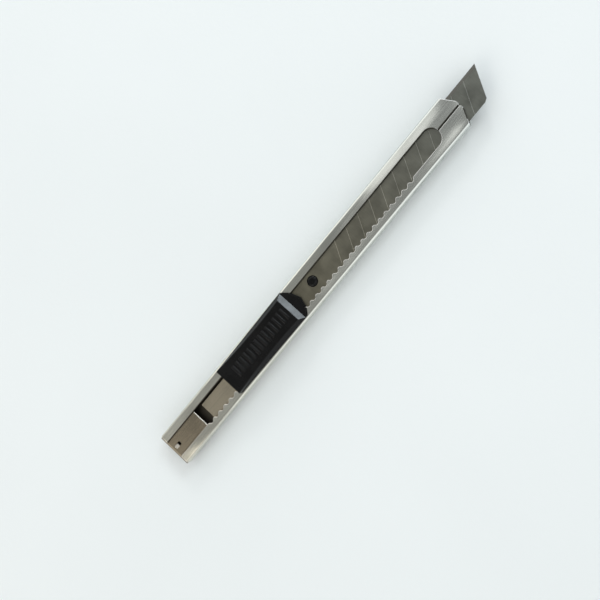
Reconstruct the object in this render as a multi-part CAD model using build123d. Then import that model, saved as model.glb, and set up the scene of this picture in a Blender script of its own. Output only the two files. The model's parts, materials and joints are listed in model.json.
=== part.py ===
from build123d import *
import math
import os

# A slim 9 mm snap-off cutter. X runs along the knife with the blade's tip at +X, the cutting edge is on +Y
# and the ratchet on -Y, and +Z is the thumb's side. The origin is the centre of the sleeve's back face.
# Everything is in millimetres, and stands as it is used: the tip is out and the tooth is in the ratchet.

# Sleeve: one folded channel, with a window that is open to the rear
SLEEVE_LENGTH = 128.1
SLEEVE_SHEET = 0.6
SLEEVE_FOLD_RADIUS = 0.75
WINDOW_WIDTH = 5.7
WINDOW_TO_NOSE = 8.95
NOSE_SHOULDER = 2.4
NOSE_EDGE_SIDE = 1.4
NOSE_RATCHET_SIDE = 1.2
NOSE_CORNER_RADIUS = 0.7
SLIT_CORNER_RADIUS = 0.45
SLIT_WIDTH = 0.3

# Ratchet: a wave of equal round peaks and valleys along the window's -Y edge
TOOTH_PITCH = 2.5
TOOTH_DEPTH = 0.72
FIRST_VALLEY = 14.4
RATCHET_TO_WINDOW_END = 14.0

# Blade: the common 9 mm size
BLADE_WIDTH = 9.0
BLADE_LENGTH = 80.0
BLADE_THICKNESS = 0.38
BLADE_OUT = 10.6
BLADE_SET_OVER = 0.38
SEGMENT_PITCH = 5.0
SEGMENTS = 12
SCORE_ANGLE = 60.0
SCORE_WIDTH = 0.16
SCORE_DEPTH = 0.07
GRIND_WIDTH = 0.95
EDGE_THICKNESS = 0.05
SPINE_CHAMFER_ALONG = 1.5
SPINE_CHAMFER_ACROSS = 0.45
TAIL_CHAMFER = 0.8
BLADE_HOLE_RADIUS = 1.65
BLADE_HOLE_FROM_TAIL = 6.5
BLADE_HOLE_OFF_MIDDLE = 0.7

# Carriage: runner, stud, leaf spring and its rivets
RUNNER_BASE = 1.0
RUNNER_REAR = 28.4
RUNNER_PAD_LENGTH = 7.0
ABUTMENT_LENGTH = 2.3
ABUTMENT_POINT = 0.9
RUNNER_NOSE_PAST_HOLE = 3.4
STUD_RADIUS = 1.45
STUD_SHANK_RADIUS = 0.9
STUD_PROUD = 0.35
STUD_CHAMFER = 0.25
SPRING_SHEET = 0.35
SPRING_REAR = 15.6
SPRING_EDGE_SIDE = 2.4
SPRING_RATCHET_SIDE = 4.4
LOCK_VALLEY = 7
RIVET_RADIUS = 0.7
RIVET_HEAD_RADIUS = 1.1
RIVET_HEAD_HEIGHT = 0.25

# Thumb slider
SLIDER_REAR = 27.1
SLIDER_BASE = 0.35
SLIDER_HEIGHT = 1.85
SLIDER_HALF_REAR = 4.85
SLIDER_HALF_FRONT = 5.2
SLIDER_TOP_WAIST = 3.85
SLIDER_TOP_FRONT = 4.0
SLIDER_FRONT_BEVEL = 1.9
SLIDER_POINT = 2.5
SLIDER_SHOULDER = 0.9
SLIDER_SHOULDER_HALF = 3.4
SLIDER_OVER_BLADE = 0.45
SLIDER_EDGE = 0.08
RIDGE_INSET = 0.8
RIDGE_PITCH = 1.67
RIDGE_COUNT = 14
RIDGE_HALF_LENGTH = 2.0
RIDGE_HEIGHT = 0.3
NECK_REAR = 30.2
NECK_FRONT = 47.8
PEG_RADIUS = 1.0

# End clip: cover plate, snap slit and pocket clip, folded from one strip
CLIP_SHEET = 0.45
CLIP_BEND_RADIUS = 0.9
COVER_LENGTH = 12.6
COVER_FRONT_CHAMFER = 0.3
LANCE_START = 0.6
LANCE_LENGTH = 2.2
LANCE_WIDTH = 1.2
LANCE_OFF_MIDDLE = 0.1
LANCE_DROP = 0.35
SNAP_SLIT = 0.6
CLIP_LENGTH = 38.0
CLIP_TIP_WIDTH = 6.4
CLIP_STANDOFF = 1.2
CLIP_FLAT = 8.0
CLIP_LIP = 3.0

# Clearances
SIDE_CLEARANCE = 0.55
RUNNER_CLEARANCE = 0.1
PRESS_TRAVEL = 0.5
PRESS_MARGIN = 0.05
SHEET_GAP = 0.05
BLADE_FLOAT = 0.08
NECK_CLEARANCE = 0.15
PEG_CLEARANCE = 0.1
TOOTH_CLEARANCE = 0.12
CLIP_CLEARANCE = 0.15
CLIP_END_GAP = 0.4

# Widths that follow from the blade
inner_half = BLADE_WIDTH / 2 + SIDE_CLEARANCE
outer_half = inner_half + SLEEVE_SHEET
blade_y = -BLADE_SET_OVER
hole_y = blade_y + BLADE_HOLE_OFF_MIDDLE
window_half = WINDOW_WIDTH / 2

# Heights, stacked up from the sleeve's back
runner_bottom = SLEEVE_SHEET + RUNNER_CLEARANCE
runner_top = runner_bottom + RUNNER_BASE
spring_bottom = runner_top + PRESS_TRAVEL + PRESS_MARGIN
spring_top = spring_bottom + SPRING_SHEET
cover_bottom = spring_top + SHEET_GAP
cover_top = cover_bottom + CLIP_SHEET
flange_bottom = cover_top + SHEET_GAP
flange_top = flange_bottom + SLEEVE_SHEET
blade_top = flange_bottom - BLADE_FLOAT
blade_bottom = blade_top - BLADE_THICKNESS
slider_bottom = flange_top + PRESS_TRAVEL + PRESS_MARGIN
slider_top = slider_bottom + SLIDER_HEIGHT

# Places along the knife. The carriage's own sizes are counted from the sleeve's rear end.
sleeve_rear = -SLEEVE_LENGTH / 2
sleeve_nose = SLEEVE_LENGTH / 2
window_end = sleeve_nose - WINDOW_TO_NOSE
blade_tip = sleeve_nose + BLADE_OUT
blade_tail = blade_tip - BLADE_LENGTH
hole_x = blade_tail + BLADE_HOLE_FROM_TAIL
score_run = BLADE_WIDTH / math.tan(math.radians(SCORE_ANGLE))
first_valley_x = sleeve_rear + FIRST_VALLEY
valley_count = int((window_end - RATCHET_TO_WINDOW_END - first_valley_x) // TOOTH_PITCH) + 1
lock_x = first_valley_x + LOCK_VALLEY * TOOTH_PITCH
wave_radius = (TOOTH_PITCH ** 2 / 16 + TOOTH_DEPTH ** 2 / 4) / TOOTH_DEPTH
wave_turn = math.asin(TOOTH_PITCH / 4 / wave_radius)
valley_y = -window_half - TOOTH_DEPTH + wave_radius
lock_radius = wave_radius - TOOTH_CLEARANCE
abutment_front = blade_tail - SHEET_GAP
slider_tip = blade_tail + SLIDER_OVER_BLADE
slider_corner = slider_tip - SLIDER_POINT
abutment_rear = abutment_front - ABUTMENT_LENGTH
pad_rear = abutment_rear - RUNNER_PAD_LENGTH


def slab(x0, x1, y0, y1, z0, z1):
    """A block between two corners."""
    size = (x1 - x0, y1 - y0, z1 - z0)
    return Pos((x0 + x1) / 2, (y0 + y1) / 2, (z0 + z1) / 2) * Box(*size)


def plate(points, z0, z1):
    """A flat plate whose outline in plan is a closed polygon."""
    return Pos(0, 0, z0) * extrude(make_face(Polyline(*points, close=True)), amount=z1 - z0)


def post(x, y, radius, z0, z1):
    """An upright round bar."""
    return Pos(x, y, (z0 + z1) / 2) * Cylinder(radius, z1 - z0)


def tube_section(half, z0, z1, radius):
    """A bar along the whole sleeve, with rounded long edges."""
    bar = slab(sleeve_rear, sleeve_nose, -half, half, z0, z1)
    return fillet(bar.edges().filter_by(Axis.X), radius)


def valley(x):
    """One valley of the ratchet in plan, from the top of one round peak to the top of the next."""
    half = TOOTH_PITCH / 2
    lean = wave_radius * math.sin(wave_turn / 2)
    drop = wave_radius - wave_radius * math.cos(wave_turn / 2)
    middle_y = -window_half - TOOTH_DEPTH / 2
    rear_peak = (x - half, -window_half)
    front_peak = (x + half, -window_half)
    rear_turn = (x - half / 2, middle_y)
    front_turn = (x + half / 2, middle_y)
    down = ThreePointArc(rear_peak, (x - half + lean, -window_half - drop), rear_turn)
    bottom = ThreePointArc(rear_turn, (x, -window_half - TOOTH_DEPTH), front_turn)
    up = ThreePointArc(front_turn, (x + half - lean, -window_half - drop), front_peak)
    inside = Polyline(front_peak, (x + half, 0), (x - half, 0), rear_peak)
    return make_face([down, bottom, up, inside])


def sleeve():
    """Folded channel: back, two sides and two front flanges that meet at the nose."""
    shell = tube_section(outer_half, 0, flange_top, SLEEVE_FOLD_RADIUS)
    inner_radius = max(SLEEVE_FOLD_RADIUS - SLEEVE_SHEET, 0.1)
    shell -= tube_section(inner_half, SLEEVE_SHEET, flange_bottom, inner_radius)

    over = flange_top + SLEEVE_SHEET
    straight_end = window_end - window_half
    window = slab(sleeve_rear - 1, straight_end, -window_half, window_half, flange_bottom - 0.1, over)
    window += post(straight_end, 0, window_half, flange_bottom - 0.1, over)

    for i in range(valley_count):
        outline = valley(first_valley_x + i * TOOTH_PITCH)
        window += Pos(0, 0, flange_bottom - 0.1) * extrude(outline, amount=over - flange_bottom + 0.1)
    slit = slab(straight_end, sleeve_nose + 1, -SLIT_WIDTH / 2, SLIT_WIDTH / 2, flange_bottom - 0.1, over)
    shell -= window + slit

    # The nose is cut back to a shoulder on each side
    shoulder_x = sleeve_nose - NOSE_SHOULDER
    wide = outer_half + 1
    slope = NOSE_SHOULDER / (outer_half - NOSE_EDGE_SIDE)
    edge_cut = [
        (sleeve_nose, NOSE_EDGE_SIDE),
        (sleeve_nose + 1, NOSE_EDGE_SIDE),
        (sleeve_nose + 1, wide),
        (shoulder_x - slope, wide),
        (shoulder_x, outer_half),
    ]
    slope = NOSE_SHOULDER / (outer_half - NOSE_RATCHET_SIDE)
    ratchet_cut = [
        (sleeve_nose, -NOSE_RATCHET_SIDE),
        (sleeve_nose + 1, -NOSE_RATCHET_SIDE),
        (sleeve_nose + 1, -wide),
        (shoulder_x - slope, -wide),
        (shoulder_x, -outer_half),
    ]
    shell -= plate(edge_cut, -1, over)
    shell -= plate(ratchet_cut, -1, over)
    upright = [e for e in shell.edges().filter_by(Axis.Z) if e.center().X > sleeve_nose - 0.01]
    upright = [e for e in upright if e.center().Z > flange_bottom]
    outer = [e for e in upright if abs(e.center().Y) > SLIT_WIDTH]
    shell = fillet(outer, NOSE_CORNER_RADIUS)
    inner = [e for e in shell.edges().filter_by(Axis.Z) if e.center().X > sleeve_nose - 0.01]
    inner = [e for e in inner if e.center().Z > flange_bottom and abs(e.center().Y) <= SLIT_WIDTH]
    return fillet(inner, SLIT_CORNER_RADIUS)


def blade():
    """Ground strip with a slanted front, scored into segments, and a hole in its tail."""
    edge_y = blade_y + BLADE_WIDTH / 2
    spine_y = blade_y - BLADE_WIDTH / 2
    middle = (blade_top + blade_bottom) / 2
    grind_y = edge_y - GRIND_WIDTH
    section = [
        (spine_y, blade_bottom),
        (grind_y, blade_bottom),
        (edge_y, middle - EDGE_THICKNESS / 2),
        (edge_y, middle + EDGE_THICKNESS / 2),
        (grind_y, blade_top),
        (spine_y, blade_top),
    ]
    strip = Plane.YZ.offset(blade_tail) * make_face(Polyline(*section, close=True))
    strip = extrude(strip, amount=BLADE_LENGTH)

    spine_front = blade_tip - score_run * (BLADE_WIDTH - SPINE_CHAMFER_ACROSS) / BLADE_WIDTH
    outline = [
        (blade_tail, edge_y - TAIL_CHAMFER),
        (blade_tail + TAIL_CHAMFER, edge_y),
        (blade_tip, edge_y),
        (spine_front, spine_y + SPINE_CHAMFER_ACROSS),
        (spine_front - SPINE_CHAMFER_ALONG, spine_y),
        (blade_tail + TAIL_CHAMFER, spine_y),
        (blade_tail, spine_y + TAIL_CHAMFER),
    ]
    strip &= plate(outline, blade_bottom - 1, blade_top + 1)
    strip -= post(hole_x, hole_y, BLADE_HOLE_RADIUS, blade_bottom - 1, blade_top + 1)

    groove_section = [
        (-SCORE_WIDTH / 2, blade_top + 0.01),
        (0, blade_top - SCORE_DEPTH),
        (SCORE_WIDTH / 2, blade_top + 0.01),
    ]
    groove_length = 2 * BLADE_WIDTH
    groove = Plane.XZ * make_face(Polyline(*groove_section, close=True))
    groove = Pos(0, groove_length / 2, 0) * extrude(groove, amount=groove_length)
    for i in range(1, SEGMENTS + 1):
        middle_x = blade_tip - i * SEGMENT_PITCH - score_run / 2
        strip -= Pos(middle_x, blade_y, 0) * Rot(0, 0, SCORE_ANGLE - 90) * groove
    return strip


def spring_rivet_places():
    """The two rivets on the root pad, as x values."""
    return [pad_rear + RUNNER_PAD_LENGTH * share for share in (0.3, 0.75)]


def peg_places():
    """The slider's two guide pegs, as x values."""
    inset = 2.5 * PEG_RADIUS
    return [sleeve_rear + NECK_REAR + inset, sleeve_rear + NECK_FRONT - inset]


def blade_carrier():
    """Moulded runner: base under the leaf spring, root pad, abutment behind the blade, and blade bed."""
    half = inner_half - NECK_CLEARANCE
    rear = sleeve_rear + RUNNER_REAR
    nose = hole_x + RUNNER_NOSE_PAST_HOLE
    body = slab(rear, nose - half / 2, -half, half, runner_bottom, runner_top)
    body += plate(
        [(nose - half / 2, -half), (nose, -half / 2), (nose, half / 2), (nose - half / 2, half)],
        runner_bottom,
        blade_bottom,
    )
    body += slab(pad_rear, abutment_front, -half, half, runner_top - 0.1, spring_bottom)
    body += slab(abutment_rear, abutment_front, -half, half, spring_bottom - 0.1, blade_top)
    body += slab(abutment_front - 0.1, nose - half / 2, -half, half, runner_top - 0.1, blade_bottom)

    # The abutment's rib fills the window behind the blade, and points forward
    rib_half = window_half - NECK_CLEARANCE
    rib_front = abutment_front + ABUTMENT_POINT
    rib = [
        (abutment_rear, -rib_half),
        (abutment_front, -rib_half),
        (rib_front, 0),
        (abutment_front, rib_half),
        (abutment_rear, rib_half),
    ]
    body += plate(rib, blade_top + SHEET_GAP, flange_top)
    body += slab(abutment_rear, abutment_front, -rib_half, rib_half, blade_top - 0.1, flange_top)

    body -= post(hole_x, hole_y, STUD_SHANK_RADIUS, 0, blade_bottom + 1)
    for x in peg_places():
        body -= post(x, 0, PEG_RADIUS + PEG_CLEARANCE, 0, flange_top)
    for x in spring_rivet_places():
        body -= post(x, 0, RIVET_RADIUS, 0, flange_top)
    return body


def blade_stud():
    """Turned stud: a shank pressed into the runner and a chamfered head through the blade's hole."""
    top = blade_top + STUD_PROUD
    head = post(hole_x, hole_y, STUD_RADIUS, blade_bottom, top)
    head = chamfer(head.edges().group_by(Axis.Z)[-1], STUD_CHAMFER)
    return head + post(hole_x, hole_y, STUD_SHANK_RADIUS, runner_bottom, blade_bottom)


def lock_spring():
    """Leaf spring: root riveted on the pad, arm running rearwards, tooth standing in a valley."""
    rear = sleeve_rear + SPRING_REAR
    root_end = abutment_rear - SHEET_GAP
    leaf = slab(rear, root_end, -SPRING_RATCHET_SIDE, SPRING_EDGE_SIDE, spring_bottom, spring_top)
    for x in peg_places():
        leaf -= post(x, 0, PEG_RADIUS + 2 * PEG_CLEARANCE, 0, flange_top)
    for x in spring_rivet_places():
        leaf -= post(x, 0, RIVET_RADIUS, 0, flange_top)

    tooth_top = flange_top - SHEET_GAP
    tooth = post(lock_x, valley_y, lock_radius, spring_top, tooth_top)
    inner = PRESS_MARGIN - window_half
    tooth &= slab(lock_x - 2, lock_x + 2, -outer_half, inner, spring_top, tooth_top)
    return leaf + tooth


def spring_rivets():
    """Two flat rivets through the leaf spring's root and the runner."""
    made = []
    for x in spring_rivet_places():
        rivet = post(x, 0, RIVET_RADIUS, runner_bottom, spring_top)
        made.append(rivet + post(x, 0, RIVET_HEAD_RADIUS, spring_top, spring_top + RIVET_HEAD_HEIGHT))
    return Compound(made)


def slider_outline(front_x, rear_half, middle_half, front_half):
    """Plan of the slider at one height: straight rear and front, and a flank on each side as one arc."""
    rear = sleeve_rear + SLIDER_REAR
    middle = (rear + front_x) / 2
    flank = ThreePointArc((rear, -rear_half), (middle, -middle_half), (front_x, -front_half))
    other = ThreePointArc((front_x, front_half), (middle, middle_half), (rear, rear_half))
    front_line = Line((front_x, -front_half), (front_x, front_half))
    rear_line = Line((rear, rear_half), (rear, -rear_half))
    return make_face([flank, front_line, other, rear_line])


def thumb_slider():
    """Moulded slider: pointed base, body with a waisted top and a front bevel, ridges, neck and pegs."""
    rear = sleeve_rear + SLIDER_REAR
    outline = [
        (rear, -SLIDER_HALF_REAR),
        (slider_corner, -SLIDER_HALF_FRONT),
        (slider_tip - SLIDER_SHOULDER, -SLIDER_SHOULDER_HALF),
        (slider_tip, 0),
        (slider_tip - SLIDER_SHOULDER, SLIDER_SHOULDER_HALF),
        (slider_corner, SLIDER_HALF_FRONT),
        (rear, SLIDER_HALF_REAR),
    ]
    body_bottom = slider_bottom + SLIDER_BASE
    base = plate(outline, slider_bottom, body_bottom)
    foot_rear = SLIDER_HALF_REAR - SLIDER_EDGE
    foot_front = SLIDER_HALF_FRONT - SLIDER_EDGE
    foot_middle = (foot_rear + foot_front) / 2 + SLIDER_EDGE / 2
    top_front = slider_corner - SLIDER_FRONT_BEVEL
    top_rear = foot_rear - 2 * SLIDER_EDGE
    foot = slider_outline(slider_corner - SLIDER_EDGE, foot_rear, foot_middle, foot_front)
    top = slider_outline(top_front, top_rear, SLIDER_TOP_WAIST, SLIDER_TOP_FRONT)
    foot = Pos(0, 0, body_bottom - SLIDER_EDGE) * foot
    top = Pos(0, 0, slider_top - RIDGE_HEIGHT) * top
    knob = base + loft([foot, top])

    ridge_front = top_front - RIDGE_INSET
    ridge_radius = RIDGE_PITCH / 2 - 0.2
    for i in range(RIDGE_COUNT):
        x = ridge_front - ridge_radius - i * RIDGE_PITCH
        ridge = Pos(x, 0, 0) * Rot(90, 0, 0) * Cylinder(ridge_radius, 2 * RIDGE_HALF_LENGTH)
        ridge = Pos(0, 0, slider_top - ridge_radius) * ridge
        knob += ridge & slab(x - 2, x + 2, -5, 5, body_bottom, slider_top)

    neck_half = window_half - NECK_CLEARANCE
    neck_bottom = spring_top + SHEET_GAP
    neck_rear = sleeve_rear + NECK_REAR
    neck_front = sleeve_rear + NECK_FRONT
    knob += slab(neck_rear, neck_front, -neck_half, neck_half, neck_bottom, slider_bottom + 0.1)
    knob -= post(lock_x, valley_y, lock_radius + 2 * TOOTH_CLEARANCE, 0, slider_bottom)
    for x in peg_places():
        knob += post(x, 0, PEG_RADIUS, SLEEVE_SHEET + PRESS_TRAVEL + PRESS_MARGIN, neck_bottom + 0.1)
    return knob


def end_clip():
    """Strip folded round the sleeve's rear end: cover plate, rear wall with a snap slit, and pocket clip."""
    cover_half = inner_half - CLIP_CLEARANCE
    mid = CLIP_SHEET / 2
    wall_x = sleeve_rear - CLIP_END_GAP - mid
    leg_z = -CLIP_CLEARANCE - mid
    low_z = leg_z - CLIP_STANDOFF
    path = [
        (sleeve_rear + COVER_LENGTH, cover_top - mid),
        (wall_x, cover_top - mid),
        (wall_x, leg_z),
        (sleeve_rear + CLIP_FLAT, leg_z),
        (sleeve_rear + 2 * CLIP_FLAT, low_z),
        (sleeve_rear + CLIP_LENGTH - 2 * CLIP_LIP, low_z),
        (sleeve_rear + CLIP_LENGTH - CLIP_LIP, leg_z),
        (sleeve_rear + CLIP_LENGTH, leg_z - CLIP_STANDOFF / 2),
    ]
    bend = CLIP_BEND_RADIUS - mid
    line = FilletPolyline(*path, radius=[bend, bend, 3, 3, 2, 1.2])
    profile = Plane.XZ * trace(line, CLIP_SHEET)
    strip = extrude(profile, amount=outer_half, both=True)

    # In plan the strip is as wide as the channel, and the pocket clip narrows to a round tip
    tip = sleeve_rear + CLIP_LENGTH + CLIP_SHEET
    tip_half = CLIP_TIP_WIDTH / 2
    wall_rear = wall_x - CLIP_SHEET
    taper = [
        (wall_rear, -cover_half),
        (sleeve_rear + CLIP_FLAT, -cover_half),
        (sleeve_rear + 2 * CLIP_FLAT, -tip_half),
        (tip - tip_half / 2, -tip_half),
        (tip, -tip_half / 2),
        (tip, tip_half / 2),
        (tip - tip_half / 2, tip_half),
        (sleeve_rear + 2 * CLIP_FLAT, tip_half),
        (sleeve_rear + CLIP_FLAT, cover_half),
        (wall_rear, cover_half),
    ]
    in_plan = plate(taper, low_z - CLIP_SHEET, 0)
    in_plan += slab(wall_rear, sleeve_rear + COVER_LENGTH, -cover_half, cover_half, -0.1, cover_top + 1)
    wall_half = inner_half + SLEEVE_SHEET / 2
    in_plan += slab(wall_rear, wall_x + mid, -wall_half, wall_half, leg_z - mid, cover_top)
    strip &= in_plan
    front_x = sleeve_rear + COVER_LENGTH
    front = [e for e in strip.edges().filter_by(Axis.Y) if e.center().X > front_x - 0.01]
    front = [e for e in front if e.center().Z > cover_top - 0.01]
    strip = chamfer(front, COVER_FRONT_CHAMFER)

    slit_z = (leg_z + cover_top) / 2
    slit_half = BLADE_WIDTH / 2 + SHEET_GAP
    strip -= slab(
        wall_rear, wall_x + mid + 0.1, -slit_half, slit_half, slit_z - SNAP_SLIT / 2, slit_z + SNAP_SLIT / 2
    )

    lance_x = sleeve_rear + LANCE_START
    lance_low = LANCE_OFF_MIDDLE - LANCE_WIDTH / 2
    lance_high = LANCE_OFF_MIDDLE + LANCE_WIDTH / 2
    lance_end = lance_x + LANCE_LENGTH
    strip -= slab(lance_x, lance_end, lance_low, lance_high, cover_bottom - 0.1, cover_top + 0.1)
    tongue = slab(
        lance_x - 0.05,
        lance_x + LANCE_LENGTH / 2,
        lance_low + SHEET_GAP,
        lance_high - SHEET_GAP,
        cover_bottom - LANCE_DROP,
        cover_top - LANCE_DROP,
    )
    return strip + tongue


PIECES = {
    "sleeve": sleeve,
    "blade": blade,
    "blade_carrier": blade_carrier,
    "blade_stud": blade_stud,
    "lock_spring": lock_spring,
    "spring_rivets": spring_rivets,
    "thumb_slider": thumb_slider,
    "end_clip": end_clip,
}

os.makedirs("parts", exist_ok=True)
for name, make in PIECES.items():
    export_step(make(), f"parts/{name}.step")
    print(name)
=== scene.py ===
import bpy
import bmesh
import json
from math import cos, pi, radians, sin, tan
from mathutils import Euler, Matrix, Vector


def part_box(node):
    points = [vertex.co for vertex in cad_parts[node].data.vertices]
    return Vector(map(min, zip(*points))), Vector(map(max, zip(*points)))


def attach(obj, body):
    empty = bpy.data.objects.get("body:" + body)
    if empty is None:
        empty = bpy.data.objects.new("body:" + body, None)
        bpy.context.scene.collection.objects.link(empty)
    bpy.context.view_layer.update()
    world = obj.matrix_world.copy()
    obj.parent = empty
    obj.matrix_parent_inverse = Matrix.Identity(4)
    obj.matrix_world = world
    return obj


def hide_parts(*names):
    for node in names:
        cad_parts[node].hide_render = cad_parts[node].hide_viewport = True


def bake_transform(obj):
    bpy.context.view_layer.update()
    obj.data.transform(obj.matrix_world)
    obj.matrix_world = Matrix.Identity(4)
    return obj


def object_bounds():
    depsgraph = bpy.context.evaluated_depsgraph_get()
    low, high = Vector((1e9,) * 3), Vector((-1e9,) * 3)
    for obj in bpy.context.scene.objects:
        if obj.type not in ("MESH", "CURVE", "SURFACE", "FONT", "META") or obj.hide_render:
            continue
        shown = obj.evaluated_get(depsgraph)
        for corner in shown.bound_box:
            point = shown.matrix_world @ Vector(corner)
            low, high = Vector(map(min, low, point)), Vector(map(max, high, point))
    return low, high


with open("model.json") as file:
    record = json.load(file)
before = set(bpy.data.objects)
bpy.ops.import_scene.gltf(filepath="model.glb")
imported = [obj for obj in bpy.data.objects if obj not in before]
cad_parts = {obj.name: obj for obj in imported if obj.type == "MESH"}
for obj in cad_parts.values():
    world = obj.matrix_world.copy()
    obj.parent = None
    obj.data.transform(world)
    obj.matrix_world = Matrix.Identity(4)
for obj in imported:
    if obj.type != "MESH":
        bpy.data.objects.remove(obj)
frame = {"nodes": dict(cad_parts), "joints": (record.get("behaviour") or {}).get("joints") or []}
cad_low, cad_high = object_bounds()


# ---- Camera -------------------------------------------------------------------------------------------
# It looks down on the thumb's side from a little towards the tip and the ratchet, and is turned so that
# the knife climbs from the lower left to the upper right.
CAMERA_PLACE = Vector((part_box("sleeve")[0].x + 0.11714, -0.05358, 0.27474))
CAMERA_TURN = Euler((radians(-2.002), radians(16.093), radians(-49.534)))
bpy.ops.object.camera_add(location=CAMERA_PLACE, rotation=CAMERA_TURN)
camera = bpy.context.object
camera.data.lens = 60
camera.data.sensor_width = 36
camera.data.clip_start = 0.01
camera.data.clip_end = 20
bpy.context.scene.camera = camera


# ---- Floor --------------------------------------------------------------------------------------------
# A pale painted board that the knife lies on, touching it at the lowest point of its pocket clip.
FLOOR_SIZE = 6.0


def deselect_all():
    """Leaves nothing selected, so that an operator acts only on what is picked next."""
    bpy.ops.object.select_all(action="DESELECT")


def new_material(name):
    """A node material with its shader, and short ways to add nodes and links."""
    material = bpy.data.materials.new(name)
    material.use_nodes = True
    tree = material.node_tree
    shader = tree.nodes["Principled BSDF"]
    return material, tree, shader


def pattern(tree, kind, scale, stretch=(1, 1, 1), turn=(0, 0, 0), **values):
    """A texture node on object coordinates. Its scale is in features to the metre."""
    place = tree.nodes.new("ShaderNodeTexCoord")
    mapping = tree.nodes.new("ShaderNodeMapping")
    mapping.inputs["Scale"].default_value = stretch
    mapping.inputs["Rotation"].default_value = turn
    texture = tree.nodes.new(kind)
    texture.inputs["Scale"].default_value = scale
    for key, value in values.items():
        texture.inputs[key].default_value = value
    tree.links.new(place.outputs["Object"], mapping.inputs["Vector"])
    tree.links.new(mapping.outputs["Vector"], texture.inputs["Vector"])
    return texture.outputs["Fac" if "Fac" in texture.outputs else "Distance"]


def ramp(tree, source, stops):
    """A colour ramp from (position, value or colour) stops."""
    node = tree.nodes.new("ShaderNodeValToRGB")
    points = node.color_ramp.elements
    while len(points) < len(stops):
        points.new(0.5)
    for point, (position, value) in zip(points, stops):
        point.position = position
        point.color = (value, value, value, 1) if isinstance(value, (int, float)) else (*value, 1)
    tree.links.new(source, node.inputs["Fac"])
    return node.outputs["Color"]


def mixed(tree, blend, amount, first, second):
    """Two colours mixed. The amount is a number or another node's output."""
    node = tree.nodes.new("ShaderNodeMix")
    node.data_type = "RGBA"
    node.blend_type = blend
    for key, value in (("Factor", amount), ("A", first), ("B", second)):
        socket = node.inputs[key]
        if isinstance(value, (int, float)):
            socket.default_value = value
        elif isinstance(value, tuple):
            socket.default_value = (*value, 1)
        else:
            tree.links.new(value, socket)
    return node.outputs["Result"]


def bump(tree, shader, layers):
    """Stacks (height, depth in metres) layers of relief on the shader's normal."""
    below = None
    for height, depth in layers:
        node = tree.nodes.new("ShaderNodeBump")
        node.inputs["Distance"].default_value = depth
        node.inputs["Strength"].default_value = 1
        tree.links.new(height, node.inputs["Height"])
        if below is not None:
            tree.links.new(below, node.inputs["Normal"])
        below = node.outputs["Normal"]
    tree.links.new(below, shader.inputs["Normal"])


deselect_all()
bpy.ops.mesh.primitive_plane_add(size=FLOOR_SIZE, location=(0, 0, cad_low.z))
floor = bpy.context.object
floor.name = "floor"
bpy.ops.object.transform_apply(location=True)
paint, tree, shader = new_material("pale board paint")
cloud = pattern(tree, "ShaderNodeTexNoise", 9, Detail=3.0)
shade = ramp(tree, cloud, [(0.3, (0.83, 0.87, 0.875)), (0.7, (0.86, 0.90, 0.905))])
tree.links.new(shade, shader.inputs["Base Color"])
shader.inputs["Roughness"].default_value = 0.75
grain = pattern(tree, "ShaderNodeTexNoise", 900, Detail=4.0)
bump(tree, shader, [(grain, 0.00003)])
floor.data.materials.append(paint)


# ---- Studio light -------------------------------------------------------------------------------------
# Large soft lights beside the cutting edge and the ratchet, a warm one behind the tail, two small ones
# that the slider's front and the punched edges mirror, and a surround that is darker overhead.
LIGHTS = {
    "key": ((0.12, 0.55, 0.50), 0.90, 1.7, (1.0, 0.99, 0.97)),
    "fill": ((0.15, -0.60, 0.40), 0.90, 1.3, (0.95, 0.98, 1.0)),
    "tail": ((-0.55, -0.10, 0.50), 0.50, 1.1, (1.0, 0.93, 0.84)),
    "tip": ((0.61, 0.15, 0.48), 0.26, 1.1, (0.84, 0.94, 1.0)),
    "edge": ((0.54, 0.58, 0.42), 0.14, 0.9, (1.0, 1.0, 1.0)),
}
for name, (place, size, power, tint) in LIGHTS.items():
    bpy.ops.object.light_add(type="AREA", location=place)
    light = bpy.context.object
    light.name = name + "_light"
    light.data.size = size
    light.data.energy = power
    light.data.color = tint
    light.rotation_euler = Vector(place).to_track_quat("Z", "Y").to_euler()
    light.visible_camera = False

world = bpy.data.worlds.new("studio")
bpy.context.scene.world = world
world.use_nodes = True
surround = world.node_tree.nodes["Background"]
surround.inputs["Strength"].default_value = 1.0
direction = world.node_tree.nodes.new("ShaderNodeTexCoord")
split = world.node_tree.nodes.new("ShaderNodeSeparateXYZ")
world.node_tree.links.new(direction.outputs["Generated"], split.inputs["Vector"])
SKY = [(0.0, (0.80, 0.82, 0.83)), (0.5, (0.68, 0.70, 0.71)), (1.0, (0.27, 0.275, 0.27))]
sky = ramp(world.node_tree, split.outputs["Z"], SKY)
world.node_tree.links.new(sky, surround.inputs["Color"])
bpy.context.scene.view_settings.view_transform = "Standard"


# ---- Sleeve -------------------------------------------------------------------------------------------
# The folded channel of stainless sheet. It is blanked, with the window, the slit and the wave ratchet
# punched out, then folded. Its punched edges get a bright painted highlight, and the inside of the
# channel and the edges facing away from the lights get a near-black painted shade.
SHEET = 0.6
FOLD_RADIUS = 0.75
WINDOW_HALF = 2.85
WINDOW_TO_NOSE = 8.95
SLIT_HALF = 0.15
TOOTH_PITCH = 2.5
TOOTH_DEPTH = 0.72
FIRST_VALLEY = 14.4
TEETH_TO_WINDOW_END = 14.0
NOSE_SHOULDER = 2.4
NOSE_EDGE_SIDE = 1.4
NOSE_RATCHET_SIDE = 1.2
NOSE_CORNER = 0.2
SLIT_CORNER = 0.45
EDGE_ROUND = 0.2
OVER = 1
METRE = 1000


def cad_box(node):
    """The lowest and highest corner of a CAD piece, in the millimetres that new pieces are modelled in."""
    low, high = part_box(node)
    return low * METRE, high * METRE


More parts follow.
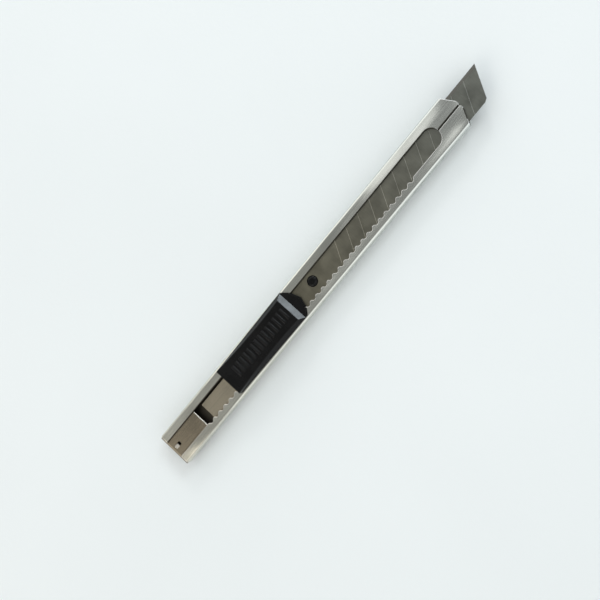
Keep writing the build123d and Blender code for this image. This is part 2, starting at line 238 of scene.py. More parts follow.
def block(name, low, high):
    """A block between two corners, with its place in its mesh."""
    low, high = Vector(low), Vector(high)
    deselect_all()
    bpy.ops.mesh.primitive_cube_add(size=1, location=(low + high) / 2)
    piece = bpy.context.object
    piece.scale = high - low
    bpy.ops.object.transform_apply(location=True, rotation=True, scale=True)
    piece.name = name
    return piece


def bar(name, centre, radius, low, high, sides=64):
    """An upright round bar, with its place in its mesh."""
    deselect_all()
    middle = (centre[0], centre[1], (low + high) / 2)
    bpy.ops.mesh.primitive_cylinder_add(vertices=sides, radius=radius, depth=high - low, location=middle)
    piece = bpy.context.object
    bpy.ops.object.transform_apply(location=True, rotation=True, scale=True)
    piece.name = name
    return piece


def edit(piece, mode="FACE"):
    """Opens a piece in edit mode with nothing selected."""
    deselect_all()
    piece.select_set(True)
    bpy.context.view_layer.objects.active = piece
    bpy.ops.object.mode_set(mode="EDIT")
    bpy.ops.mesh.select_mode(type=mode)
    bpy.ops.mesh.select_all(action="DESELECT")


def pick(piece, kind, rule):
    """Selects the faces, edges or corners that the rule says yes to, and says how many they are."""
    mesh = bmesh.from_edit_mesh(piece.data)
    mesh.normal_update()
    chosen = [item for item in getattr(mesh, kind) if rule(item)]
    for item in chosen:
        item.select_set(True)
    mesh.select_flush_mode()
    bmesh.update_edit_mesh(piece.data)
    return len(chosen)


def close_edit():
    """Back to object mode."""
    bpy.ops.object.mode_set(mode="OBJECT")


def middle_of(edge):
    """The middle point of an edge."""
    return (edge.verts[0].co + edge.verts[1].co) / 2


def along(edge, axis):
    """Whether an edge runs along an axis."""
    run = (edge.verts[1].co - edge.verts[0].co).normalized()
    return abs(run[axis]) > 0.999


def apply_modifier(piece, kind, **values):
    """Adds a modifier, sets it and applies it."""
    deselect_all()
    piece.select_set(True)
    bpy.context.view_layer.objects.active = piece
    tool = piece.modifiers.new(kind.lower(), kind)
    for key, value in values.items():
        setattr(tool, key, value)
    bpy.ops.object.modifier_apply(modifier=tool.name)


def combine(piece, other, how="DIFFERENCE"):
    """Cuts another closed shape out of a piece, or welds it on, and throws that shape away."""
    apply_modifier(piece, "BOOLEAN", operation=how, solver="EXACT", object=other)
    bpy.data.objects.remove(other)


def finish_mesh(piece, angle=28):
    """Merges doubles, brings the piece from millimetres to metres, and shades it smooth up to an angle,
    with the large flat faces kept flat."""
    edit(piece, "VERT")
    bpy.ops.mesh.select_all(action="SELECT")
    bpy.ops.mesh.remove_doubles(threshold=0.002)
    bpy.ops.transform.resize(value=(1 / METRE, 1 / METRE, 1 / METRE), center_override=(0, 0, 0))
    close_edit()
    bpy.ops.object.shade_smooth_by_angle(angle=radians(angle))
    apply_modifier(piece, "WEIGHTED_NORMAL", weight=100, keep_sharp=True)


sleeve_low, sleeve_high = cad_box("sleeve")
rear_x, nose_x = sleeve_low.x, sleeve_high.x
outer_half = sleeve_high.y
flange_top = sleeve_high.z
window_end = nose_x - WINDOW_TO_NOSE
round_x = window_end - WINDOW_HALF
flange_bottom = flange_top - SHEET
cut_low = flange_bottom - 0.3
cut_high = flange_top + OVER
first_x = rear_x + FIRST_VALLEY
valleys = int((window_end - TEETH_TO_WINDOW_END - first_x) // TOOTH_PITCH) + 1
wave_radius = (TOOTH_PITCH ** 2 / 16 + TOOTH_DEPTH ** 2 / 4) / TOOTH_DEPTH
valley_y = -WINDOW_HALF - TOOTH_DEPTH + wave_radius

sleeve = block("steel_sleeve", sleeve_low, sleeve_high)
edit(sleeve, "EDGE")
pick(sleeve, "edges", lambda e: along(e, 0))
bpy.ops.mesh.bevel(offset=FOLD_RADIUS, segments=8, affect="EDGES")
bpy.ops.mesh.select_all(action="DESELECT")
bpy.ops.mesh.select_mode(type="FACE")
pick(sleeve, "faces", lambda f: abs(f.normal.x) > 0.9)
bpy.ops.mesh.delete(type="FACE")
close_edit()
apply_modifier(sleeve, "SOLIDIFY", thickness=SHEET, offset=-1, use_even_offset=True)


def wave(x):
    """How deep the ratchet is cut at a place along the knife: equal round valleys and peaks, in turn."""
    if not first_x - TOOTH_PITCH / 2 < x < first_x + (valleys - 0.5) * TOOTH_PITCH:
        return 0
    off = abs((x - first_x + TOOTH_PITCH / 2) % TOOTH_PITCH - TOOTH_PITCH / 2)
    if off < TOOTH_PITCH / 4:
        return TOOTH_DEPTH - wave_radius + (wave_radius ** 2 - off ** 2) ** 0.5
    return wave_radius - (wave_radius ** 2 - (TOOTH_PITCH / 2 - off) ** 2) ** 0.5


combine(sleeve, bar("window_end_cut", (round_x, 0), WINDOW_HALF, cut_low, cut_high, 96))
combine(sleeve, block("slit_cut", (round_x, -SLIT_HALF, cut_low), (nose_x + OVER, SLIT_HALF, cut_high)))


def nose_cutter(side, inner):
    """The wedge that cuts the nose back to its shoulder on one side."""
    slope = NOSE_SHOULDER / (outer_half - inner)
    wide = outer_half + OVER
    corners = [
        (nose_x, inner), (nose_x + OVER, inner), (nose_x + OVER, wide),
        (nose_x - NOSE_SHOULDER - slope * OVER, wide),
    ]
    wedge = block("nose_cut", (0, 0, -OVER), (1, 1, flange_top + OVER))
    for vertex in wedge.data.vertices:
        if vertex.co.x > 0.5:
            x, y = corners[1 if vertex.co.y < 0.5 else 2]
        else:
            x, y = corners[0 if vertex.co.y < 0.5 else 3]
        vertex.co.x, vertex.co.y = x, side * y
    edit(wedge)
    bpy.ops.mesh.select_all(action="SELECT")
    bpy.ops.mesh.normals_make_consistent(inside=False)
    close_edit()
    return wedge


combine(sleeve, nose_cutter(1, NOSE_EDGE_SIDE))
combine(sleeve, nose_cutter(-1, NOSE_RATCHET_SIDE))
window = block("window_cut", (rear_x - OVER, -WINDOW_HALF, cut_low), (round_x, WINDOW_HALF, cut_high))
for cuts in (9, 59):
    edit(window, "EDGE")
    pick(window, "edges", lambda e: along(e, 0))
    bpy.ops.mesh.subdivide(number_cuts=cuts)
    close_edit()
for vertex in window.data.vertices:
    if vertex.co.y < 0:
        vertex.co.y -= wave(vertex.co.x)
combine(sleeve, window)
for inside, size in ((False, NOSE_CORNER), (True, SLIT_CORNER)):
    edit(sleeve, "EDGE")
    pick(sleeve, "edges", lambda e: along(e, 2) and middle_of(e).x > nose_x - 0.01
         and middle_of(e).z > flange_bottom and (abs(middle_of(e).y) < 2 * SLIT_HALF) == inside)
    bpy.ops.mesh.bevel(offset=size, segments=6, affect="EDGES")
    close_edit()
edit(sleeve, "EDGE")
pick(sleeve, "edges", lambda e: middle_of(e).z > flange_bottom + 0.05 and len(e.link_faces) == 2
     and e.calc_face_angle(0) > 1.0 and max(f.normal.z for f in e.link_faces) > 0.05)
bpy.ops.mesh.bevel(offset=EDGE_ROUND, segments=3, affect="EDGES")
close_edit()
finish_mesh(sleeve)


def painted_warm_reflection(tree, tone, reflection_tint):
    """Painted warm skin reflection: the colour is tinted more and more from the tip to the rear end."""
    place = tree.nodes.new("ShaderNodeTexCoord")
    split = tree.nodes.new("ShaderNodeSeparateXYZ")
    reach = tree.nodes.new("ShaderNodeMapRange")
    reach.inputs["From Min"].default_value = nose_x / METRE
    reach.inputs["From Max"].default_value = rear_x / METRE
    tree.links.new(place.outputs["Object"], split.inputs["Vector"])
    tree.links.new(split.outputs["X"], reach.inputs["Value"])
    return mixed(tree, "MULTIPLY", reach.outputs["Result"], tone, reflection_tint)


def steel(name, colour, low_rough, high_rough, wave):
    """Rolled and brushed stainless: streaks along the knife, soft clouds, fine scratches and slow waves."""
    material, tree, shader = new_material(name)
    streak = pattern(tree, "ShaderNodeTexNoise", 1, (60, 4200, 4200), Detail=4.0, Roughness=0.65)
    cloud = pattern(tree, "ShaderNodeTexNoise", 1, (60, 140, 140), Detail=3.0)
    fine = pattern(tree, "ShaderNodeTexNoise", 1, (350, 14000, 14000), Detail=2.0)
    slow = pattern(tree, "ShaderNodeTexNoise", 1, (45, 90, 90), Detail=1.0)
    light = tuple(min(1, part * 1.08) for part in colour)
    dark = tuple(part * 0.84 for part in colour)
    streak_tone = ramp(tree, streak, [(0.3, dark), (0.72, light)])
    cloud_tone = ramp(tree, cloud, [(0.3, dark), (0.7, light)])
    tone = mixed(tree, "MIX", 0.55, streak_tone, cloud_tone)
    # The colour turns warmer towards the rear end: painted warm skin reflection.
    tree.links.new(painted_warm_reflection(tree, tone, (1.02, 0.96, 0.87)), shader.inputs["Base Color"])
    streak_rough = ramp(tree, streak, [(0.3, low_rough), (0.75, high_rough)])
    cloud_rough = ramp(tree, cloud, [(0.35, low_rough), (0.7, high_rough)])
    rough = mixed(tree, "MIX", 0.5, streak_rough, cloud_rough)
    tree.links.new(rough, shader.inputs["Roughness"])
    shader.inputs["Metallic"].default_value = 1
    bump(tree, shader, [(slow, wave), (streak, 0.000004), (fine, 0.0000012)])
    return material


sleeve.data.materials.append(steel("brushed sleeve steel", (0.72, 0.745, 0.71), 0.11, 0.24, 0.0012))
# Bright painted highlight for the punched edges that face the lights.
sleeve.data.materials.append(steel("tumbled edge steel", (0.88, 0.89, 0.88), 0.10, 0.20, 0.00002))
# Near-black painted shade for the inside of the channel and for the edges that face away from the lights.
sleeve.data.materials.append(steel("dull channel steel", (0.07, 0.065, 0.055), 0.35, 0.55, 0.00002))
inner_half = outer_half - SHEET
# Faces inside the channel get painted shade. The upper bevelled edges get the painted highlight, or painted
# shade where they face away.
for face in sleeve.data.polygons:
    place = face.center * METRE
    on_flat = abs(place.y) < outer_half - FOLD_RADIUS - 0.1
    if abs(place.y) < inner_half + 0.02 and SHEET - 0.05 < place.z < flange_bottom + 0.02:
        face.material_index = 2
    elif place.z > flange_bottom + 0.05 and face.normal.z < 0.99 and (on_flat or abs(face.normal.x) > 0.12):
        # Edges near the window that face the ratchet side get painted shade instead of the painted
        # highlight.
        painted_shade_edge = face.normal.y < -0.1 and place.x < nose_x - 0.5 and abs(place.y) < WINDOW_HALF + 0.3
        face.material_index = 2 if painted_shade_edge else 1
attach(sleeve, "sleeve")
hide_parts("sleeve")


# ---- Blade --------------------------------------------------------------------------------------------
# Dark carbon steel strip, scored on its face so that worn segments snap off, then ground along its edge.
# The hole in its tail sits over the stud on the runner.
SEGMENT_PITCH = 5.0
SEGMENTS = 12
SCORE_ANGLE = radians(60)
SCORE_HALF = 0.08
SCORE_DEPTH = 0.07
GRIND_WIDTH = 0.95
EDGE_LEFT = 0.05
SPINE_ALONG = 1.5
SPINE_ACROSS = 0.45
TAIL_CHAMFER = 0.8
HOLE_RADIUS = 1.65

blade_low, blade_high = cad_box("blade")
stud_low, stud_high = cad_box("blade_stud")
stud_x, stud_y = (stud_low.x + stud_high.x) / 2, (stud_low.y + stud_high.y) / 2


def slice_off(point, outward):
    """Cuts away what lies beyond a plane, and closes the cut."""
    bpy.ops.mesh.select_all(action="SELECT")
    bpy.ops.mesh.bisect(plane_co=point, plane_no=outward, use_fill=True, clear_outer=True)


blade = block("snap_off_blade", blade_low, blade_high)
tip = Vector((blade_high.x, blade_high.y, 0))
lean = Vector((sin(SCORE_ANGLE), -cos(SCORE_ANGLE), 0))
width = blade_high.y - blade_low.y
half_sheet = (blade_high.z - blade_low.z) / 2
fall = half_sheet - EDGE_LEFT / 2
edit(blade)
slice_off(tip, lean)
spine_front = blade_high.x - (width - SPINE_ACROSS) / tan(SCORE_ANGLE)
slice_off((spine_front, blade_low.y + SPINE_ACROSS, 0), (SPINE_ACROSS, -SPINE_ALONG, 0))
for y, side in ((blade_low.y, -1), (blade_high.y, 1)):
    slice_off((blade_low.x + TAIL_CHAMFER, y, 0), (-1, side, 0))
slice_off((0, blade_high.y - GRIND_WIDTH, blade_high.z), (0, fall, GRIND_WIDTH))
slice_off((0, blade_high.y - GRIND_WIDTH, blade_low.z), (0, fall, -GRIND_WIDTH))
close_edit()
combine(blade, bar("hole_cut", (stud_x, stud_y), HOLE_RADIUS, blade_low.z - OVER, blade_high.z + OVER))

score = block(
    "score_cut", (-SCORE_HALF, -width, blade_high.z - SCORE_DEPTH),
    (SCORE_HALF, width, blade_high.z + SCORE_DEPTH),
)
edit(score)
pick(score, "faces", lambda f: f.normal.z < -0.9)
bpy.ops.transform.resize(value=(0.02, 1, 1), center_override=(0, 0, blade_high.z))
bpy.ops.mesh.select_all(action="DESELECT")
pick(score, "faces", lambda f: f.normal.z > 0.9)
bpy.ops.transform.resize(value=(2, 1, 1), center_override=(0, 0, blade_high.z))
close_edit()
score.rotation_euler.z = SCORE_ANGLE - pi / 2
first_score = blade_high.x - SEGMENT_PITCH - width / 2 / tan(SCORE_ANGLE)
score.location = (first_score, (blade_low.y + blade_high.y) / 2, 0)
bpy.ops.object.transform_apply(location=True, rotation=True, scale=True)
apply_modifier(
    score, "ARRAY", count=SEGMENTS, use_relative_offset=False,
    use_constant_offset=True, constant_offset_displace=(-SEGMENT_PITCH, 0, 0),
)
combine(blade, score)
finish_mesh(blade, 3)


def blade_steel(name, colour, low_rough, high_rough, across):
    """Ground carbon steel: fine parallel grinding lines over a mottled dark face."""
    material, tree, shader = new_material(name)
    grinding = pattern(tree, "ShaderNodeTexNoise", 1, (across, 220, 9000), Detail=4.0, Roughness=0.7)
    mottle = pattern(tree, "ShaderNodeTexNoise", 260, Detail=5.0, Roughness=0.6)
    light = tuple(part * 1.18 for part in colour)
    dark = tuple(part * 0.82 for part in colour)
    ground_tone = ramp(tree, grinding, [(0.28, dark), (0.74, light)])
    mottled_tone = ramp(tree, mottle, [(0.3, dark), (0.7, light)])
    tone = mixed(tree, "MIX", 0.5, ground_tone, mottled_tone)
    # The colour turns warmer and browner towards the tail: painted warm skin reflection.
    tree.links.new(painted_warm_reflection(tree, tone, (1.08, 0.88, 0.60)), shader.inputs["Base Color"])
    tree.links.new(ramp(tree, mottle, [(0.3, low_rough), (0.72, high_rough)]), shader.inputs["Roughness"])
    shader.inputs["Metallic"].default_value = 1
    bump(tree, shader, [(mottle, 0.000003), (grinding, 0.0000025)])
    return material


blade.data.materials.append(blade_steel("dark blade steel", (0.20, 0.208, 0.185), 0.28, 0.42, 6500))
blade.data.materials.append(blade_steel("ground edge steel", (0.125, 0.125, 0.113), 0.24, 0.38, 9000))
blade.data.materials.append(blade_steel("score line steel", (0.42, 0.43, 0.40), 0.35, 0.5, 9000))
score_low, score_high = blade_high.z - SCORE_DEPTH * 1.1, blade_high.z - SCORE_DEPTH * 0.1
for face in blade.data.polygons:
    place = face.center * METRE
    if place.y > blade_high.y - GRIND_WIDTH and face.normal.y > 0.05 and abs(face.normal.x) < 0.1:
        face.material_index = 1
    elif face.normal.z > 0.3 and score_low < place.z < score_high:
        face.material_index = 2
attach(blade, "carriage")
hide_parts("blade")


# ---- Runner -------------------------------------------------------------------------------------------
# The black moulding that slides inside the channel and carries the blade. Only its rib shows, in the
# window behind the blade.


def moulded(name, colour, worn, low_rough, high_rough, grain_depth, gloss=0.22):
    """Moulded black plastic: fine spark grain, soft cloudy gloss and a little grey rubbed wear."""
    material, tree, shader = new_material(name)
    grain = pattern(tree, "ShaderNodeTexNoise", 7000, Detail=3.0)
    cloud = pattern(tree, "ShaderNodeTexNoise", 260, Detail=4.0)
    rub = pattern(tree, "ShaderNodeTexNoise", 1, (500, 1600, 1600), Detail=5.0, Roughness=0.7)
    tone = mixed(tree, "MIX", ramp(tree, rub, [(0.58, 0.0), (0.8, 0.6)]), colour, worn)
    tree.links.new(tone, shader.inputs["Base Color"])
    tree.links.new(ramp(tree, cloud, [(0.3, low_rough), (0.7, high_rough)]), shader.inputs["Roughness"])
    shader.inputs["Specular IOR Level"].default_value = gloss
    bump(tree, shader, [(cloud, 0.000012), (grain, grain_depth)])
    return material


def repaint(node, material):
    """A CAD piece keeps its shape and gets its finish."""
    piece = frame["nodes"][node]
    piece.data.materials.clear()
    piece.data.materials.append(material)


runner_black, runner_worn = (0.012, 0.012, 0.012), (0.03, 0.03, 0.03)
repaint("blade_carrier", moulded("satin runner plastic", runner_black, runner_worn, 0.38, 0.52, 0.000006))


# ---- Stud ---------------------------------------------------------------------------------------------
# A turned and blackened stud, pressed into the runner. Its head passes through the hole in the blade,
# with a rounded rim and a flat raised middle.
HEAD_STEP = 0.12

rim = stud_high.z - HEAD_STEP
stud = bar("blade_stud_head", (stud_x, stud_y), (stud_high.x - stud_low.x) / 2, blade_low.z, rim)
edit(stud)
pick(stud, "faces", lambda f: f.normal.z > 0.9)
bpy.ops.mesh.inset(thickness=0.42)
bpy.ops.mesh.extrude_region_move(TRANSFORM_OT_translate={"value": (0, 0, HEAD_STEP)})
bpy.ops.transform.resize(value=(0.9, 0.9, 1), center_override=(stud_x, stud_y, 0))
bpy.ops.mesh.select_all(action="DESELECT")
pick(stud, "faces", lambda f: f.normal.z < -0.9)
bpy.ops.mesh.inset(thickness=0.55)
bpy.ops.mesh.extrude_region_move(TRANSFORM_OT_translate={"value": (0, 0, stud_low.z - blade_low.z)})
close_edit()
edit(stud, "EDGE")
pick(stud, "edges", lambda e: abs(middle_of(e).z - rim) < 0.01
     and (middle_of(e).xy - Vector((stud_x, stud_y))).length > 1.3)
bpy.ops.mesh.bevel(offset=0.28, segments=5, affect="EDGES")
close_edit()
apply_modifier(stud, "BEVEL", width=0.03, segments=2, limit_method="ANGLE", angle_limit=radians(35))
finish_mesh(stud, 35)
black_gloss, tree, shader = new_material("blackened stud gloss")
turned = pattern(tree, "ShaderNodeTexNoise", 2600, Detail=4.0)
black = ramp(tree, turned, [(0.3, (0.001, 0.001, 0.001)), (0.75, (0.004, 0.004, 0.004))])
tree.links.new(black, shader.inputs["Base Color"])
tree.links.new(ramp(tree, turned, [(0.3, 0.04), (0.75, 0.10)]), shader.inputs["Roughness"])
shader.inputs["Specular IOR Level"].default_value = 0.3
bump(tree, shader, [(turned, 0.000002)])
stud.data.materials.append(black_gloss)
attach(stud, "carriage")
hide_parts("blade_stud")


# ---- Lock spring --------------------------------------------------------------------------------------
# A leaf of polished spring steel. Its root is riveted on the runner, its arm runs rearwards under the
# slider, and the tooth on it stands in a valley of the ratchet. Pressing the slider bends the arm in the
# knife; here the leaf is modelled straight, cut into stations along its length.
spring_low, spring_high = cad_box("lock_spring")
LEAF = 0.35
LEAF_STATIONS = 24
LOCK_VALLEY = 7
TOOTH_ROOM = 0.12

leaf_top = spring_low.z + LEAF
spring = block("leaf_spring", spring_low, (spring_high.x, spring_high.y, leaf_top))
edit(spring, "EDGE")
pick(spring, "edges", lambda e: along(e, 2) and middle_of(e).x < spring_low.x + 1)
bpy.ops.mesh.bevel(offset=0.25, segments=4, affect="EDGES")
for share in range(1, LEAF_STATIONS):
    x = spring_low.x + (spring_high.x - spring_low.x) * share / LEAF_STATIONS
    bpy.ops.mesh.select_all(action="SELECT")
    bpy.ops.mesh.bisect(plane_co=(x, 0, 0), plane_no=(1, 0, 0))
close_edit()
lock_x = first_x + LOCK_VALLEY * TOOTH_PITCH
lock_radius = wave_radius - TOOTH_ROOM
tooth = bar("lock_tooth", (lock_x, valley_y), lock_radius, leaf_top - 0.1, spring_high.z, 40)
edit(tooth)
slice_off((0, -WINDOW_HALF + 0.05, 0), (0, 1, 0))
close_edit()
combine(spring, tooth, "UNION")
apply_modifier(spring, "BEVEL", width=0.05, segments=2, limit_method="ANGLE", angle_limit=radians(40))
finish_mesh(spring)
# Its warm yellow-brown is painted warm skin reflection on the steel.
spring.data.materials.append(steel("polished spring steel", (0.52, 0.485, 0.40), 0.14, 0.26, 0.00006))
press = next(j for j in frame["joints"] if j["name"] == "slider_press")
rivets_low, rivets_high = cad_box("spring_rivets")
slider_low, slider_high = cad_box("thumb_slider")
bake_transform(spring)
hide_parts("lock_spring")


# ---- Rivets -------------------------------------------------------------------------------------------
# Two flat steel rivets through the spring's root and the runner.
repaint("spring_rivets", steel("plain rivet steel", (0.56, 0.56, 0.55), 0.25, 0.42, 0.00002))


# ---- Thumb slider -------------------------------------------------------------------------------------
# The black moulded button. A thin pointed foot lies over the flanges, the body is drawn in at its waist,
# its front is a flat bevel, and fourteen low ridges cross its top.
PRESS_MARGIN = 0.05
FOOT_THICKNESS = 0.35
SLIDER_POINT = 2.5
SHOULDER_BACK = 0.9
SHOULDER_HALF = 3.4
FRONT_BEVEL = 1.9
HALF_REAR = 4.85
HALF_FRONT = 5.2
TOP_REAR = 4.6
TOP_WAIST = 3.85
TOP_FRONT = 4.0
FOOT_STEP = 0.08
RIDGE_INSET = 0.8
RIDGE_PITCH = 1.67
RIDGES = 14
RIDGE_HALF = 2.0
RIDGE_HEIGHT = 0.3
NECK_HALF = 2.7
NECK_REAR = 30.2
NECK_FRONT = 47.8
LEAF_GAP = 0.05
PEG_RADIUS = 1.0
PEG_FROM_END = 2.5
STATIONS = 20

slider_bottom = flange_top + press["range_m"][1] * METRE + PRESS_MARGIN
body_bottom = slider_bottom + FOOT_THICKNESS
body_top = slider_high.z - RIDGE_HEIGHT
slider_rear, slider_tip = slider_low.x, slider_high.x
corner_x = slider_tip - SLIDER_POINT

body = block("slider_body", (slider_rear, -1, body_bottom - 0.1), (corner_x - FOOT_STEP, 1, body_top))
edit(body, "EDGE")
pick(body, "edges", lambda e: along(e, 0))
bpy.ops.mesh.subdivide(number_cuts=STATIONS)
close_edit()
front_top = corner_x - FRONT_BEVEL
for vertex in body.data.vertices:
    share = (vertex.co.x - slider_rear) / (corner_x - FOOT_STEP - slider_rear)
    side = 1 if vertex.co.y > 0 else -1
    if vertex.co.z > body_bottom:
        bow = 4 * share * (1 - share)
        straight = TOP_REAR + (TOP_FRONT - TOP_REAR) * share
        vertex.co.y = side * (straight - bow * ((TOP_REAR + TOP_FRONT) / 2 - TOP_WAIST))
        vertex.co.x = slider_rear + share * (front_top - slider_rear)
    else:
        vertex.co.y = side * (HALF_REAR + (HALF_FRONT - HALF_REAR) * share - FOOT_STEP)
edit(body, "EDGE")
bpy.ops.mesh.select_all(action="DESELECT")
pick(body, "edges", lambda e: middle_of(e).z > body_top - 0.05 and len(e.link_faces) == 2
     and e.calc_face_angle(0) > 0.3)
bpy.ops.mesh.bevel(offset=0.16, segments=3, affect="EDGES")
close_edit()

foot = block("slider_foot", (slider_rear, -1, slider_bottom), (corner_x, 1, body_bottom))
for vertex in foot.data.vertices:
    half = HALF_REAR if vertex.co.x < slider_rear + 1 else HALF_FRONT
    vertex.co.y = half if vertex.co.y > 0 else -half
edit(foot, "EDGE")
bpy.ops.mesh.select_all(action="SELECT")
for y in (-SHOULDER_HALF, 0, SHOULDER_HALF):
    bpy.ops.mesh.select_all(action="SELECT")
    bpy.ops.mesh.bisect(plane_co=(0, y, 0), plane_no=(0, 1, 0))
for y, reach in ((SHOULDER_HALF, SLIDER_POINT - SHOULDER_BACK), (0, SLIDER_POINT)):
    bpy.ops.mesh.select_all(action="DESELECT")
    pick(foot, "edges", lambda e: along(e, 2) and abs(abs(middle_of(e).y) - y) < 0.01
         and middle_of(e).x > corner_x - 0.1)
    bpy.ops.transform.translate(value=(reach, 0, 0))
close_edit()
apply_modifier(foot, "BEVEL", width=0.06, segments=2, limit_method="ANGLE", angle_limit=radians(35))
combine(body, foot, "UNION")

ridge_radius = RIDGE_PITCH / 2 - 0.2
ridge_x = front_top - RIDGE_INSET - ridge_radius
deselect_all()
bpy.ops.mesh.primitive_cylinder_add(
    vertices=32, radius=ridge_radius, depth=2 * RIDGE_HALF,
    location=(ridge_x, 0, slider_high.z - ridge_radius), rotation=(pi / 2, 0, 0),
)
ridge = bpy.context.object
bpy.ops.object.transform_apply(location=True, rotation=True, scale=True)
apply_modifier(ridge, "BEVEL", width=0.14, segments=3, limit_method="ANGLE", angle_limit=radians(40))
apply_modifier(
    ridge, "ARRAY", count=RIDGES, use_relative_offset=False,
    use_constant_offset=True, constant_offset_displace=(-RIDGE_PITCH, 0, 0),
)
combine(body, ridge, "UNION")
neck = block(
    "slider_neck", (rear_x + NECK_REAR, -NECK_HALF, leaf_top + LEAF_GAP),
    (rear_x + NECK_FRONT, NECK_HALF, slider_bottom + 0.1),
)
combine(neck, bar("tooth_room", (lock_x, valley_y), lock_radius + 2 * TOOTH_ROOM, leaf_top, slider_bottom))
combine(body, neck, "UNION")
for x in (rear_x + NECK_REAR + PEG_FROM_END, rear_x + NECK_FRONT - PEG_FROM_END):
    combine(body, bar("guide_peg", (x, 0), PEG_RADIUS, slider_low.z, leaf_top + 0.15, 40), "UNION")
finish_mesh(body, 30)
body.name = "thumb_slider_button"
body.data.materials.append(
    moulded("worn slider plastic", (0.003, 0.003, 0.003), (0.010, 0.0105, 0.011), 0.20, 0.34, 0.000003)
)
# A lighter, bluish, glossier copy of the slider plastic: painted reflection on the front bevel.
body.data.materials.append(
    moulded("rubbed slider plastic", (0.02, 0.023, 0.025), (0.05, 0.056, 0.06), 0.16, 0.28, 0.000002, 0.65)
)
# The front bevel faces get the painted reflection material.
for face in body.data.polygons:
    place = face.center * METRE
    if body_bottom < place.z < body_top + 0.02 and 0.35 < face.normal.x < 0.8 and place.x > front_top - 0.2:
        face.material_index = 1
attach(body, "thumb_slider")
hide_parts("thumb_slider")


# ---- End clip -----------------------------------------------------------------------------------------
# One strip of stainless, folded round the sleeve's rear end. It closes the window's rear end as a cover
# plate, its rear wall has the slit that segments are snapped in, and its back leg is the pocket clip.
CLIP_SHEET = 0.45
CLIP_BEND = 0.675
CLIP_CLEARANCE = 0.15
COVER_LENGTH = 12.6
COVER_CHAMFER = 0.3
CLIP_FLAT = 8.0
CLIP_LIP = 3.0
CLIP_LENGTH = 38.0
CLIP_STANDOFF = 1.2
CLIP_TIP_HALF = 3.2
LANCE_START = 0.6
LANCE_LENGTH = 2.2
LANCE_HALF = 0.6
LANCE_OFF = 0.1
TONGUE_DROP = 0.45
SNAP_SLIT = 0.6

clip_low, clip_high = cad_box("end_clip")
half_clip = CLIP_SHEET / 2
wall_half = inner_half + SHEET / 2
cover_half = inner_half - CLIP_CLEARANCE
cover_z = clip_high.z - half_clip
wall_x = clip_low.x + half_clip
cover_front = rear_x + COVER_LENGTH
leg_z = -CLIP_CLEARANCE - half_clip
low_z = leg_z - CLIP_STANDOFF

# Places along the strip: where it is, half its width there, and the length that its bend takes
STRIP = [
    (cover_front, cover_z, wall_half, 0),
    (wall_x, cover_z, wall_half, CLIP_BEND),
    (wall_x, leg_z, wall_half, CLIP_BEND),
    (rear_x + CLIP_FLAT, leg_z, cover_half, 0.224),
    (rear_x + 2 * CLIP_FLAT, low_z, CLIP_TIP_HALF, 0.224),
    (rear_x + CLIP_LENGTH - 2 * CLIP_LIP, low_z, CLIP_TIP_HALF, 0.385),
    (rear_x + CLIP_LENGTH - CLIP_LIP, leg_z, CLIP_TIP_HALF, 0.357),
    (rear_x + CLIP_LENGTH, leg_z - CLIP_STANDOFF / 2, CLIP_TIP_HALF, 0),
]
deselect_all()
bpy.ops.mesh.primitive_grid_add(x_subdivisions=len(STRIP) - 1, y_subdivisions=1, size=2)
clip = bpy.context.object
clip.name = "folded_end_clip"
for vertex in clip.data.vertices:
    place = STRIP[round((vertex.co.x + 1) / 2 * (len(STRIP) - 1))]
    vertex.co = (place[0], place[2] if vertex.co.y > 0 else -place[2], place[1])
for x, z, half, length in STRIP[1:-1]:
    edit(clip, "EDGE")
    pick(clip, "edges", lambda e: along(e, 1) and abs(middle_of(e).x - x) < 0.01
         and abs(middle_of(e).z - z) < 0.01)
    bpy.ops.mesh.bevel(offset=length, segments=8, affect="EDGES")
    close_edit()
apply_modifier(clip, "SOLIDIFY", thickness=CLIP_SHEET, offset=0, use_even_offset=True)
edit(clip)
bpy.ops.mesh.select_all(action="SELECT")
bpy.ops.mesh.normals_make_consistent(inside=False)
close_edit()
edit(clip, "EDGE")
pick(clip, "edges", lambda e: middle_of(e).x > rear_x + CLIP_LENGTH - 0.3 and not along(e, 1)
     and abs(abs(middle_of(e).y) - CLIP_TIP_HALF) < 0.01 and e.calc_length() < CLIP_SHEET * 1.1)
bpy.ops.mesh.bevel(offset=1.5, segments=8, affect="EDGES")
bpy.ops.mesh.select_all(action="DESELECT")
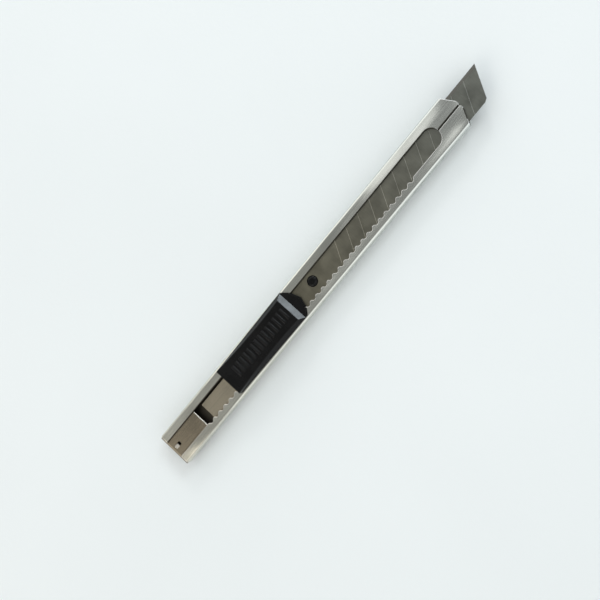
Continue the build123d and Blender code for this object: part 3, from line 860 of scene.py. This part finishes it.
pick(clip, "edges", lambda e: along(e, 1) and middle_of(e).x > cover_front - 0.01
     and middle_of(e).z > clip_high.z - 0.01)
bpy.ops.mesh.bevel(offset=COVER_CHAMFER, segments=3, affect="EDGES")
close_edit()
for side in (-1, 1):
    inside, outside = side * cover_half, side * (wall_half + OVER)
    low_y, high_y = min(inside, outside), max(inside, outside)
    trim_low = (wall_x + half_clip, low_y, clip_low.z - OVER)
    combine(clip, block("side_trim", trim_low, (cover_front + OVER, high_y, clip_high.z + OVER)))
slit_z = (leg_z + cover_z + half_clip) / 2
slit_half = (blade_high.y - blade_low.y) / 2 + 0.05
combine(clip, block(
    "snap_slit_cut", (wall_x - OVER, -slit_half, slit_z - SNAP_SLIT / 2),
    (wall_x + OVER, slit_half, slit_z + SNAP_SLIT / 2),
))
lance_x = rear_x + LANCE_START
combine(clip, block(
    "lance_cut", (lance_x, LANCE_OFF - LANCE_HALF, cover_z - half_clip - 0.1),
    (lance_x + LANCE_LENGTH, LANCE_OFF + LANCE_HALF, clip_high.z + OVER),
))
tongue = block(
    "lance_tongue", (lance_x - 0.1, LANCE_OFF - LANCE_HALF + 0.05, cover_z - half_clip - 0.05),
    (lance_x + LANCE_LENGTH / 2, LANCE_OFF + LANCE_HALF - 0.05, clip_high.z - 0.08),
)
for vertex in tongue.data.vertices:
    if vertex.co.x > lance_x:
        vertex.co.z -= TONGUE_DROP
combine(clip, tongue, "UNION")
apply_modifier(clip, "BEVEL", width=0.05, segments=2, limit_method="ANGLE", angle_limit=radians(35))
finish_mesh(clip)
# Its dark warm brown is painted shade and painted warm skin reflection on the stainless strip.
clip.data.materials.append(steel("brushed clip steel", (0.29, 0.265, 0.215), 0.2, 0.36, 0.00005))
# Bright painted highlight for the cover's front chamfer and the lance tongue, which face the tip.
clip.data.materials.append(steel("tumbled clip edge steel", (0.86, 0.86, 0.84), 0.16, 0.30, 0.00002))
# Faces at the cover's front and on the tongue that face the tip get the painted highlight.
for face in clip.data.polygons:
    place = face.center * METRE
    on_front = place.x > cover_front - COVER_CHAMFER - 0.02
    on_tongue = 0.2 < face.normal.x < 0.6 and place.x > rear_x
    if place.z > cover_z - 0.8 and (on_front or on_tongue):
        face.material_index = 1
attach(clip, "end_clip")
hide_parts("end_clip")
